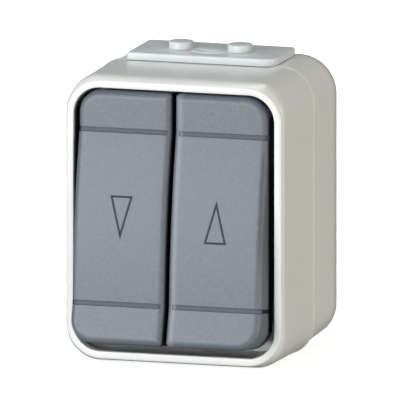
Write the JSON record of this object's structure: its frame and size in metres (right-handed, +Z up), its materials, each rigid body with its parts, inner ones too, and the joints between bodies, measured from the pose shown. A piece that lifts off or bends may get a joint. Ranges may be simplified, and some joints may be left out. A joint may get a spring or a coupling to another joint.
{
  "type": "roller shutter switch",
  "caption": "Surface mounted splash proof roller shutter switch: box housing with a cable entry plate on top and rockers side by side marked with down and up arrowheads.",
  "frame": {"origin": "centre of the rear face, which lies against the wall", "axes": "+Y out of the rear face into the wall, the rockers face -Y, +Z up, +X to the right seen from the front"},
  "size_m": [0.0666, 0.0611, 0.0886],
  "materials": {
    "housing": "glossy moulded light grey",
    "key": "satin moulded blue grey",
    "frame": "dark moulded plastic",
    "insert": "matt insulating plastic",
    "seal": "soft rubber",
    "steel": "zinc plated steel",
    "brass": "stamped brass"
  },
  "bodies": {
    "housing": {"front_cover": "housing", "base_box": "housing", "entry_plate": "housing", "cover_seal": "seal", "entry_seal": "seal", "rocker_frame": "frame", "pivot_pin": "steel", "insert_body": "insert", "feed_bar": "brass", "fixed_contact_left": "brass", "fixed_contact_right": "brass", "terminal_left": "brass", "terminal_common": "brass", "terminal_right": "brass", "terminal_screw_left": "steel", "terminal_screw_common": "steel", "terminal_screw_right": "steel", "insert_screw_upper": "steel", "insert_screw_lower": "steel", "frame_screw_upper": "steel", "frame_screw_lower": "steel"},
    "key_left": {"rocker_left": "key", "cradle_left": "frame", "spring_left": "steel"},
    "key_right": {"rocker_right": "key", "cradle_right": "frame", "spring_right": "steel"},
    "plunger_body_left": {"plunger_left": "insert"},
    "plunger_body_right": {"plunger_right": "insert"},
    "lever_left": {"contact_lever_left": "brass"},
    "lever_right": {"contact_lever_right": "brass"}
  },
  "joints": [
    {"name": "rocker_left_tilt", "type": "hinge", "parent": "housing", "child": "key_left", "pos_m": [-0.01485, -0.0445, 0], "axis": [1, 0, 0], "range_deg": [0, 16]},
    {"name": "rocker_right_tilt", "type": "hinge", "parent": "housing", "child": "key_right", "pos_m": [0.01485, -0.0445, 0], "axis": [1, 0, 0], "range_deg": [0, 16]},
    {"name": "contact_left_tip", "type": "hinge", "parent": "housing", "child": "lever_left", "pos_m": [-0.01485, -0.0312, 0], "axis": [1, 0, 0], "range_deg": [-12, 0]},
    {"name": "contact_right_tip", "type": "hinge", "parent": "housing", "child": "lever_right", "pos_m": [0.01485, -0.0312, 0], "axis": [1, 0, 0], "range_deg": [-12, 0]},
    {"name": "plunger_left_slide", "type": "slide", "parent": "key_left", "child": "plunger_body_left", "axis": [0, -0.9903, 0.1392], "range_m": [0, 0.0006], "stiffness_N_per_m": 20},
    {"name": "plunger_right_slide", "type": "slide", "parent": "key_right", "child": "plunger_body_right", "axis": [0, -0.9903, 0.1392], "range_m": [0, 0.0006], "stiffness_N_per_m": 20}
  ],
  "couplings": [
    {"joint": "contact_left_tip", "follows": "rocker_left_tilt", "ratio": -0.75},
    {"joint": "contact_right_tip", "follows": "rocker_right_tilt", "ratio": -0.75}
  ]
}
